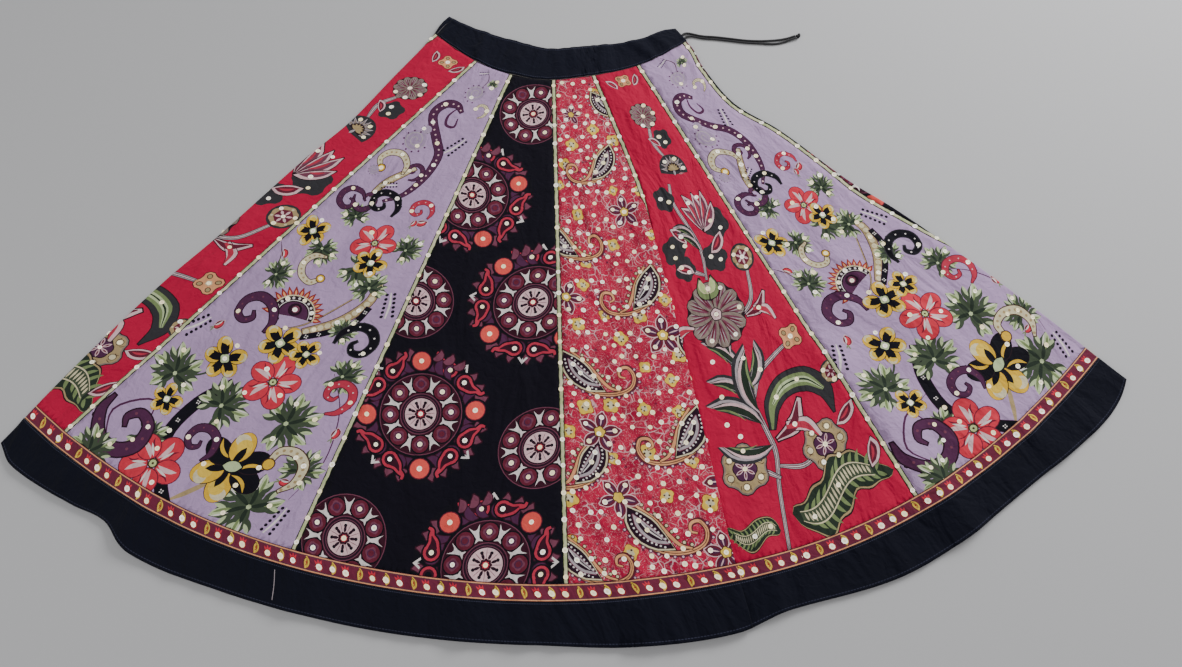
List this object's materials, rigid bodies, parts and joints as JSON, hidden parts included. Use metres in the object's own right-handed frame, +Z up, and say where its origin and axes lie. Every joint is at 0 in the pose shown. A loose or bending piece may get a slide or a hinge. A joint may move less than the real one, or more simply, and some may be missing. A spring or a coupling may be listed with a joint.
{
  "type": "sequin skirt",
  "caption": "Long flared skirt of printed gores with piped seams, sequins, a plum border, a dark hem band and a drawstring waist, laid flat like a fan.",
  "frame": {"origin": "centre of the skirt's bounding box, on the surface it lies on", "axes": "+X to the wearer's left across the laid fan, its longest extent; +Y from the hem to the waist; +Z up, out of the surface"},
  "size_m": [1.5793, 0.9991, 0.0152],
  "materials": {
    "red_floral": "matte",
    "lilac_floral": "matte",
    "black_medallion": "matte",
    "pink_paisley": "matte",
    "navy_cotton": "matte",
    "plum_border": "matte",
    "pale_piping": "satin",
    "black_cord": "satin"
  },
  "bodies": {
    "root": {"gore_01": "red_floral", "gore_02": "lilac_floral", "gore_03": "black_medallion", "gore_04": "pink_paisley", "gore_05": "red_floral", "gore_06": "lilac_floral", "gore_07": "black_medallion", "gore_08": "pink_paisley", "gore_09": "red_floral", "gore_10": "lilac_floral", "gore_11": "black_medallion", "gore_12": "pink_paisley", "piping_01": "pale_piping", "piping_02": "pale_piping", "piping_03": "pale_piping", "piping_04": "pale_piping", "piping_05": "pale_piping", "piping_06": "pale_piping", "piping_07": "pale_piping", "piping_08": "pale_piping", "piping_09": "pale_piping", "piping_10": "pale_piping", "piping_11": "pale_piping", "piping_12": "pale_piping", "waistband": "navy_cotton", "border": "plum_border", "hem_band": "navy_cotton", "drawstring_a": "black_cord", "drawstring_b": "black_cord", "drawstring_knot": "black_cord"}
  },
  "joints": []
}
